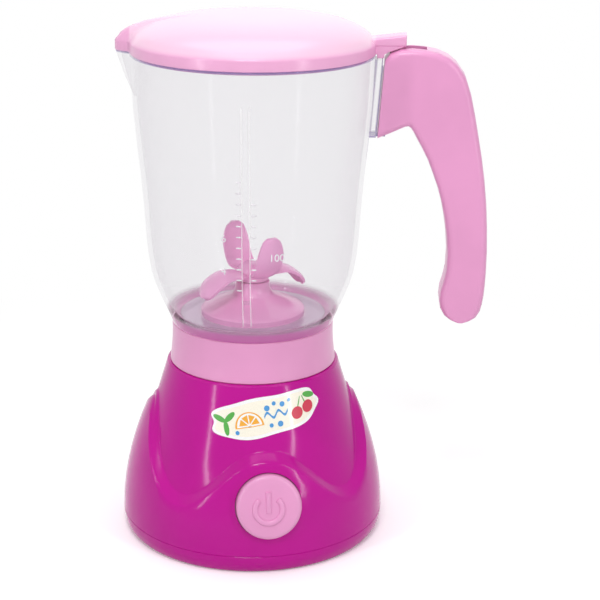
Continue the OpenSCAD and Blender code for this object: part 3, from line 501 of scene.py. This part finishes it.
def stretch(bm, by):
    bmesh.ops.scale(bm, vec=by, verts=bm.verts)


def rotate(bm, angle, axis="Z"):
    """Turns a mesh about an axis through the origin."""
    matrix = Matrix.Rotation(angle, 3, axis)
    bmesh.ops.rotate(bm, cent=(0, 0, 0), matrix=matrix, verts=bm.verts)


def add_object(name, bm, material, body, sharp_deg):
    """Turns a bmesh in millimetres into a smooth piece in metres that rides a body."""
    stretch(bm, (MM, MM, MM))
    add_metres(name, bm, material, body, sharp_deg)


def add_metres(name, bm, material, body, sharp_deg):
    """Turns a bmesh in metres into a piece that is smooth over edges below an angle."""
    limit = math.radians(sharp_deg)
    for face in bm.faces:
        face.smooth = True
    for e in bm.edges:
        e.smooth = len(e.link_faces) == 2 and e.calc_face_angle(0.0) < limit
    mesh = bpy.data.meshes.new(name)
    bm.to_mesh(mesh)
    bm.free()
    mesh.materials.append(material)
    piece = bpy.data.objects.new(name, mesh)
    bpy.context.scene.collection.objects.link(piece)
    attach(piece, body)
    return piece


def shell(node, name, body, slot, sharp_deg=SHARP_DEG, finish=None):
    """A smooth moulded shell that stands for a node, from a merged copy of its mesh."""
    bm = bmesh.new()
    bm.from_mesh(frame["nodes"][node].data)
    bmesh.ops.remove_doubles(bm, verts=bm.verts, dist=0.002 * MM)
    piece = add_metres(name, bm, finish_for(finish or slot), body, sharp_deg)
    weigh = piece.modifiers.new("Even shading", "WEIGHTED_NORMAL")
    weigh.keep_sharp = True
    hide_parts(node)
    return piece


def jar_radius(z):
    """Radius of the jug's outside at a height, in millimetres."""
    share = (z - JAR_FOOT_H) / (RIM_H - JAR_FOOT_H)
    for (s0, r0), (s1, r1) in zip(JAR_FORM, JAR_FORM[1:]):
        if s0 <= share <= s1:
            return r0 + (r1 - r0) * (share - s0) / (s1 - s0)
    return JAR_FORM[-1][1]


def bell_radius(z):
    """Radius of the housing's bell at a height, in millimetres."""
    return BELL_TOP_R + BELL_SLOPE * (HOUSING_TOP_H - z)


def wrap(bm, radius_at, angle_deg, z, lift):
    """Bends a flat mark (x across, y up, z out of the face) onto a round wall."""
    for v in bm.verts:
        height = z + v.co.y
        r = radius_at(height)
        a = math.radians(angle_deg) + v.co.x / r
        r += lift + v.co.z
        v.co = Vector((r * math.cos(a), r * math.sin(a), height))


def flat_disc(rx, ry, at, turn=0.0, steps=32):
    """A flat oval in the label's plane."""
    bm = bmesh.new()
    bmesh.ops.create_circle(bm, cap_ends=True, cap_tris=True, segments=steps, radius=1.0)
    stretch(bm, (rx, ry, 1.0))
    rotate(bm, turn)
    move(bm, (*at, 0.0))
    return bm


def joined(parts):
    """Joins several bmeshes into one."""
    bm = bmesh.new()
    for part in parts:
        mesh = bpy.data.meshes.new("part")
        part.to_mesh(mesh)
        part.free()
        bm.from_mesh(mesh)
        bpy.data.meshes.remove(mesh)
    return bm


def thicken(bm, way):
    """Gives flat faces their thickness, along a vector."""
    made = bmesh.ops.extrude_face_region(bm, geom=bm.faces[:])
    far = [g for g in made["geom"] if isinstance(g, bmesh.types.BMVert)]
    bmesh.ops.translate(bm, vec=way, verts=far)
    bmesh.ops.recalc_face_normals(bm, faces=bm.faces)


# ---------------------------------------------------------------- operators


class BLENDER_OT_shells(bpy.types.Operator):
    """Replace the moulded nodes with smooth shells"""

    bl_idname = "toy_blender.shells"
    bl_label = "Moulded Shells"

    def execute(self, context):
        shell("base_housing", "housing_shell", "base", "magenta_plastic")
        shell("bottom_cover", "cover_shell", "base", "magenta_plastic")
        shell("power_button", "button_cap", "button", "pink_plastic")
        shell("collar", "collar_ring", "jug", "pink_plastic")
        shell("jar_handle", "handle_grip", "jug", "pink_plastic", 40.0)
        # Blade and seat are pink plastic, made lighter as painted light inside the jug
        shell("blade_seat", "seat_dome", "jug", "pink_plastic", finish="blade_plastic")
        shell("impeller", "blade_paddles", "blade", "pink_plastic", 50.0, "blade_plastic")
        shell("lid", "lid_shell", "lid", "pale_pink_plastic", 36.0)
        return {"FINISHED"}


class BLENDER_OT_jug(bpy.types.Operator):
    """Replace the jug with its clear shell"""

    bl_idname = "toy_blender.jug"
    bl_label = "Clear Jug"

    def execute(self, context):
        shell("jar", "jug_clear", "jug", "clear_plastic", 38.0)
        return {"FINISHED"}


class BLENDER_OT_brace(bpy.types.Operator):
    """Add the brace under the lid's tongue, which fills the corner above the rail"""

    bl_idname = "toy_blender.brace"
    bl_label = "Tongue Brace"

    # Seen from the side: distance from the jug's axis, and height over the rim
    OUTLINE = ((47.4, -1.2), (50.0, -1.2), (50.2, 0.3), (52.6, 1.4), (56.5, 2.8),
               (57.9, 3.4), (45.0, 3.4), (45.0, 0.3), (47.4, 0.3))
    HALF_W = 4.8
    SOFT_EDGE = 0.25

    def execute(self, context):
        bm = bmesh.new()
        bm.faces.new([bm.verts.new((x, -self.HALF_W, RIM_H + z)) for x, z in self.OUTLINE])
        thicken(bm, (0.0, 2 * self.HALF_W, 0.0))
        bmesh.ops.bevel(bm, geom=bm.edges[:], offset=self.SOFT_EDGE, offset_type="OFFSET",
                        segments=2, profile=0.5, affect="EDGES", material=-1)
        rotate(bm, JUG_TURN)
        slot = "pale_pink_plastic"
        add_object("tongue_brace", bm, finish_for(slot), "lid", SHARP_DEG)
        return {"FINISHED"}


class BLENDER_OT_fittings(bpy.types.Operator):
    """Give every other node the material of its slot"""

    bl_idname = "toy_blender.fittings"
    bl_label = "Fittings"

    def execute(self, context):
        for row in frame["record"]["subparts"]:
            node = frame["nodes"][row["node"]]
            if not node.hide_render:
                node.data.materials.clear()
                node.data.materials.append(finish_for(row["material_slot"]))
        return {"FINISHED"}


class BLENDER_OT_symbol(bpy.types.Operator):
    """Raise the power symbol on the button"""

    bl_idname = "toy_blender.symbol"
    bl_label = "Power Symbol"

    # Half of the gap in the ring, how flat the line is, and how far the symbol sits
    # from the middle of the cap
    HALF_GAP = math.radians(44)
    FLATNESS = 0.75
    SHIFT = (-0.4, -0.7)

    def execute(self, context):
        sizes = context.scene.toy_blender_sizes
        r, w = sizes.symbol_radius, sizes.symbol_line / 2
        arc = bmesh.new()
        bmesh.ops.create_circle(arc, cap_ends=True, segments=12, radius=w)
        rotate(arc, math.pi / 2, "X")
        move(arc, (r, 0, 0))
        rotate(arc, math.pi / 2 + self.HALF_GAP)
        profile = arc.faces[:] + arc.edges[:] + arc.verts[:]
        bmesh.ops.spin(arc, geom=profile, cent=(0, 0, 0), axis=(0, 0, 1),
                       angle=2 * math.pi - 2 * self.HALF_GAP, steps=40, use_merge=False)
        bmesh.ops.holes_fill(arc, edges=[e for e in arc.edges if e.is_boundary])
        bar = bmesh.new()
        bmesh.ops.create_cone(
            bar, cap_ends=True, segments=12, radius1=w, radius2=w, depth=r * 1.5)
        rotate(bar, math.pi / 2, "X")
        move(bar, (0, r * 0.54, 0))
        mark = joined([arc, bar])
        stretch(mark, (1, 1, self.FLATNESS))
        bmesh.ops.recalc_face_normals(mark, faces=mark.faces)
        move(mark, (*self.SHIFT, SYMBOL_OUT))
        rotate(mark, math.pi / 2 - BUTTON_TILT, "X")
        move(mark, BUTTON_MIDDLE)
        slot = "pink_plastic"
        add_object("power_symbol", mark, finish_for(slot), "button", MARK_SHARP_DEG)
        return {"FINISHED"}


class BLENDER_OT_scale(bpy.types.Operator):
    """Raise the marks and numbers of the scale on the jug"""

    bl_idname = "toy_blender.scale"
    bl_label = "Scale"

    # Columns of marks: angle round the jug, height of the lowest, number of marks
    COLUMNS = ((-93.6, 112.0, 11), (-86.0, 116.2, 8))
    NUMBERS = (("6", -101.2, 132.4), ("4", -101.6, 119.6), ("100", -74.3, 124.9))
    TICK_HALF_H, TICK_DEPTH, NUMBER_DEPTH, LIFT = 0.32, 0.3, 0.25, 0.02
    # Size of the font for each mm of a digit's height
    FONT_SIZE = 1.35

    def execute(self, context):
        sizes = context.scene.toy_blender_sizes
        marks = []
        for angle, low, count in self.COLUMNS:
            for i in range(count):
                mark = self.tick(sizes.tick_length / 2)
                wrap(mark, jar_radius, angle, low + i * sizes.tick_pitch, self.LIFT)
                marks.append(mark)
        for text, angle, z in self.NUMBERS:
            mark = self.number(text, sizes.number_height)
            wrap(mark, jar_radius, angle, z, self.LIFT)
            marks.append(mark)
        bm = joined(marks)
        rotate(bm, JUG_TURN)
        frost = printed("scale_frost", (0.80, 0.78, 0.82))
        add_object("scale_marks", bm, frost, "jug", MARK_SHARP_DEG)
        return {"FINISHED"}

    def tick(self, half):
        """A raised mark with rounded ends, centred on the origin."""
        bm = bmesh.new()
        bmesh.ops.create_uvsphere(bm, u_segments=12, v_segments=8, radius=1.0)
        stretch(bm, (half, self.TICK_HALF_H, self.TICK_DEPTH))
        return bm

    def number(self, text, height):
        """A raised number, flat, centred on the origin."""
        curve = bpy.data.curves.new("number", "FONT")
        curve.body, curve.size = text, height * self.FONT_SIZE
        curve.align_x, curve.align_y = "CENTER", "CENTER"
        curve.resolution_u = 6
        holder = bpy.data.objects.new("number", curve)
        bpy.context.scene.collection.objects.link(holder)
        bpy.context.view_layer.update()
        mesh = bpy.data.meshes.new_from_object(
            holder.evaluated_get(bpy.context.evaluated_depsgraph_get()))
        bm = bmesh.new()
        bm.from_mesh(mesh)
        bpy.data.objects.remove(holder)
        bpy.data.curves.remove(curve)
        bpy.data.meshes.remove(mesh)
        bmesh.ops.remove_doubles(bm, verts=bm.verts, dist=1e-5)
        thicken(bm, (0, 0, self.NUMBER_DEPTH))
        return bm


class BLENDER_OT_label(bpy.types.Operator):
    """Stick the plain fruit label on the bell"""

    bl_idname = "toy_blender.label"
    bl_label = "Label"

    # Design in the label's own plane, in millimetres from its middle
    BORDER = 1.2
    LEAF_HUB, LEAF_REACH, LEAF_TURNS = (-16.6, 0.4), 2.5, (35, 150, 270)
    CHERRY_LEAF = (18.3, 3.2)
    SLICE, SLICE_R, PITH_R = (-7.4, -2.8), 5.7, 4.9
    SEGMENT_REACH, SEGMENT_TURNS = 2.7, (22.5, 67.5, 112.5, 157.5)
    STEMS = ((3.0, (13.2, 1.2), 1.15), (2.4, (15.9, 1.7), -1.25))
    CHERRIES = ((12.1, -1.8), (17.1, -0.9))
    DROPS = ((1.1, 0.4, 3.0), (0.8, 3.4, 4.2), (1.0, 6.6, 3.2), (0.8, 1.0, -3.6),
             (1.1, 4.6, -3.8), (0.8, -12.6, -4.2), (0.7, 9.6, 3.9))
    # Where the label sits on the bell, its tilt, and the longest edge that bends well
    ANGLE, HEIGHT, TILT, LONGEST = -88.5, 60.0, math.radians(9), 2.2

    def execute(self, context):
        sizes, c = context.scene.toy_blender_sizes, context.scene.toy_blender_colours
        w, h = sizes.label_width / 2, sizes.label_height / 2
        film = printed("label_film", WHITE_FILM_AND_HIGHLIGHT)
        paper, leaf, berry, drop, slice_ = (
            printed("label_" + key, tuple(getattr(c, key)))
            for key in ("paper", "leaf", "berry", "drop", "slice"))
        self.stick("label_border", self.cloud(w, h), film, 0.06, 0.04)
        ground = self.cloud(w - self.BORDER, h - self.BORDER)
        self.stick("label_ground", ground, paper, 0.08, 0.05)
        leaves = self.petals(2.7, 1.05, self.LEAF_HUB, self.LEAF_REACH, self.LEAF_TURNS)
        leaves.append(flat_disc(2.7, 1.1, self.CHERRY_LEAF, -0.35))
        self.stick("label_leaves", joined(leaves), leaf, 0.14, 0.05)
        x, y = self.SLICE
        self.stick("label_slice", self.half(self.SLICE_R, (x, y)), slice_, 0.14, 0.05)
        self.stick("label_pith", self.half(self.PITH_R, (x, y + 0.4)), film, 0.20, 0.02)
        segments = self.petals(
            1.5, 2.2, (x, y + 0.7), self.SEGMENT_REACH, self.SEGMENT_TURNS, 90, 3)
        self.stick("label_segments", joined(segments), slice_, 0.23, 0.03)
        stems = [flat_disc(long, 0.22, at, turn) for long, at, turn in self.STEMS]
        self.stick("label_stems", joined(stems), leaf, 0.14, 0.05)
        cherries = [flat_disc(2.4, 2.3, at) for at in self.CHERRIES]
        self.stick("label_cherries", joined(cherries), berry, 0.20, 0.05)
        drops = [flat_disc(r, r, (x, y), 0, 20) for r, x, y in self.DROPS]
        self.stick("label_drops", joined(drops), drop, 0.14, 0.05)
        self.stick("label_wave", self.wave(), drop, 0.14, 0.05)
        return {"FINISHED"}

    def petals(self, rx, ry, hub, reach, turns, twist=0, steps=32):
        """Ovals round a hub, one in each direction, twisted from pointing outwards."""
        return [
            flat_disc(rx, ry, (hub[0] + reach * math.cos(a), hub[1] + reach * math.sin(a)),
                      a + math.radians(twist), steps)
            for a in map(math.radians, turns)]

    def cloud(self, w, h):
        """A full oval with seven gentle bulges round its edge."""
        bm = flat_disc(w, h, (0.0, 0.0), 0.0, 128)
        fullness, bulge = 2.8, 0.035
        for v in bm.verts:
            a = math.atan2(v.co.y / h, v.co.x / w)
            corner = abs(math.cos(a)) ** fullness + abs(math.sin(a)) ** fullness
            v.co *= corner ** (-1 / fullness) * (1 - bulge + bulge * math.cos(7 * a + 0.6))
        return bm

    def half(self, r, at):
        """The upper half of a disc."""
        bm = flat_disc(r, r, at, 0.0, 48)
        bmesh.ops.bisect_plane(
            bm, geom=bm.verts[:] + bm.edges[:] + bm.faces[:], plane_co=(at[0], at[1], 0.0),
            plane_no=(0.0, -1.0, 0.0), clear_outer=True)
        return bm

    def wave(self):
        """A thin waving line among the drops."""
        bm = bmesh.new()
        bmesh.ops.create_grid(bm, x_segments=40, y_segments=1, size=1.0)
        middle, half_l, half_w, swing = (3.6, 0.2), 4.8, 0.5, 1.1
        for v in bm.verts:
            x, y = v.co.x, v.co.y
            v.co = Vector((middle[0] + x * half_l,
                           middle[1] + swing * math.sin(x * 6.6) + y * half_w, 0.0))
        return bm

    def stick(self, name, bm, material, lift, depth):
        """Bends one colour of the print onto the bell and adds it as a piece."""
        # Short edges let the film follow the bell's curve
        while long := [e for e in bm.edges if e.calc_length() > self.LONGEST]:
            bmesh.ops.subdivide_edges(bm, edges=long, cuts=1)
            bmesh.ops.triangulate(bm, faces=bm.faces)
        thicken(bm, (0, 0, depth))
        rotate(bm, self.TILT)
        wrap(bm, bell_radius, self.ANGLE, self.HEIGHT, lift)
        add_object(name, bm, material, "base", MARK_SHARP_DEG)


class BLENDER_OT_stage(bpy.types.Operator):
    """Set the floor, the soft lights and the camera"""

    bl_idname = "toy_blender.stage"
    bl_label = "Studio"

    def execute(self, context):
        scene = context.scene
        scene.view_settings.view_transform = "Standard"
        self.floor()
        self.world(scene)
        for name, (place, size, power) in LAMPS.items():
            self.softbox(name, place, size, power)
        self.camera(scene)
        return {"FINISHED"}

    def seen(self, shade):
        """1 for rays that show the backdrop itself, 0 for rays that light the object."""
        path = shade.node("ShaderNodeLightPath").socket.node
        camera, glossy, through = (
            Sock(shade, path.outputs[n])
            for n in ("Is Camera Ray", "Is Glossy Ray", "Is Transmission Ray"))
        return camera.most(glossy).most(through)

    def floor(self):
        """A white floor that takes the object's soft shadow."""
        bm = bmesh.new()
        bmesh.ops.create_grid(bm, x_segments=2, y_segments=2, size=6.0)
        mesh = bpy.data.meshes.new("floor")
        bm.to_mesh(mesh)
        bm.free()
        plane = bpy.data.objects.new("floor", mesh)
        bpy.context.scene.collection.objects.link(plane)
        s = Shade("floor_card")
        seen = self.seen(s)
        s.set(base_color=s.mix(seen, (0.8, 0.8, 0.8), (1.0, 1.0, 1.0)), roughness=0.9,
              specular_ior_level=0.0)
        s.set(emission_color=s.mix(seen, (0.0, 0.0, 0.0), FLOOR_GLOW), emission_strength=1.0)
        # Plain white away from the object, so that the floor meets the backdrop
        away = s.node("ShaderNodeVectorMath", {"operation": "LENGTH"}, {0: s.place()}, 1)
        white = s.node("ShaderNodeEmission", values={"Color": (1, 1, 1, 1)})
        s.show(seen * away.step(0.1, 0.32), Sock(s, s.main.outputs[0]), white)
        mesh.materials.append(s.material)

    def world(self, scene):
        """White where the camera sees it, and soft daylight for the object."""
        world = bpy.data.worlds.new("studio")
        world.use_nodes = True
        scene.world = world
        s = Shade(tree=world.node_tree)
        back = s.tree.nodes["Background"]
        s.feed(back.inputs["Color"], (1, 1, 1, 1))
        s.feed(back.inputs["Strength"], DAYLIGHT + self.seen(s) * (1.0 - DAYLIGHT))

    def softbox(self, name, place, size, power):
        """A soft lamp that faces the object and that the camera doesn't see."""
        lamp = bpy.data.lights.new(name, "AREA")
        lamp.shape, lamp.size, lamp.size_y, lamp.energy = "RECTANGLE", *size, power
        holder = bpy.data.objects.new(name, lamp)
        holder.visible_camera = False
        holder.location = place
        aim = LAMP_AIM - Vector(place)
        holder.rotation_euler = aim.to_track_quat("-Z", "Y").to_euler()
        bpy.context.scene.collection.objects.link(holder)

    def camera(self, scene):
        """The photo's camera."""
        data = bpy.data.cameras.new("camera")
        data.lens, data.sensor_width, data.sensor_fit = CAMERA_LENS, CAMERA_SENSOR, "HORIZONTAL"
        data.clip_start, data.clip_end = 0.01, 50.0
        holder = bpy.data.objects.new("camera", data)
        forward = Vector(CAMERA_FORWARD).normalized()
        right = Vector(CAMERA_RIGHT).normalized()
        up = right.cross(forward)
        x = right * math.cos(CAMERA_ROLL) + up * math.sin(CAMERA_ROLL)
        y = up * math.cos(CAMERA_ROLL) - right * math.sin(CAMERA_ROLL)
        turn = Matrix((x, y, -forward)).transposed().to_4x4()
        holder.matrix_world = Matrix.Translation(CAMERA_PLACE) @ turn
        scene.collection.objects.link(holder)
        scene.camera = holder


class BLENDER_PT_dressing(bpy.types.Panel):
    """Lists the steps that dress the toy blender"""

    bl_idname = "BLENDER_PT_dressing"
    bl_label = "Toy Blender"
    bl_space_type = "VIEW_3D"
    bl_region_type = "UI"
    bl_category = "Toy Blender"

    def draw(self, context):
        for group in (context.scene.toy_blender_colours, context.scene.toy_blender_sizes):
            for name in group.__annotations__:
                self.layout.prop(group, name)
        for step in OPERATORS:
            self.layout.operator(step.bl_idname)


OPERATORS = (
    BLENDER_OT_shells, BLENDER_OT_jug, BLENDER_OT_brace, BLENDER_OT_fittings, BLENDER_OT_symbol,
    BLENDER_OT_scale, BLENDER_OT_label, BLENDER_OT_stage,
)
CLASSES = (BlenderColours, BlenderSizes, *OPERATORS, BLENDER_PT_dressing)


def register():
    for c in CLASSES:
        bpy.utils.register_class(c)
    bpy.types.Scene.toy_blender_colours = bpy.props.PointerProperty(type=BlenderColours)
    bpy.types.Scene.toy_blender_sizes = bpy.props.PointerProperty(type=BlenderSizes)


def unregister():
    del bpy.types.Scene.toy_blender_sizes
    del bpy.types.Scene.toy_blender_colours
    for c in reversed(CLASSES):
        bpy.utils.unregister_class(c)


def main():
    register()
    bpy.ops.toy_blender.shells()
    bpy.ops.toy_blender.jug()
    bpy.ops.toy_blender.brace()
    bpy.ops.toy_blender.fittings()
    bpy.ops.toy_blender.symbol()
    bpy.ops.toy_blender.scale()
    bpy.ops.toy_blender.label()
    bpy.ops.toy_blender.stage()


if __name__ == "__main__":
    main()
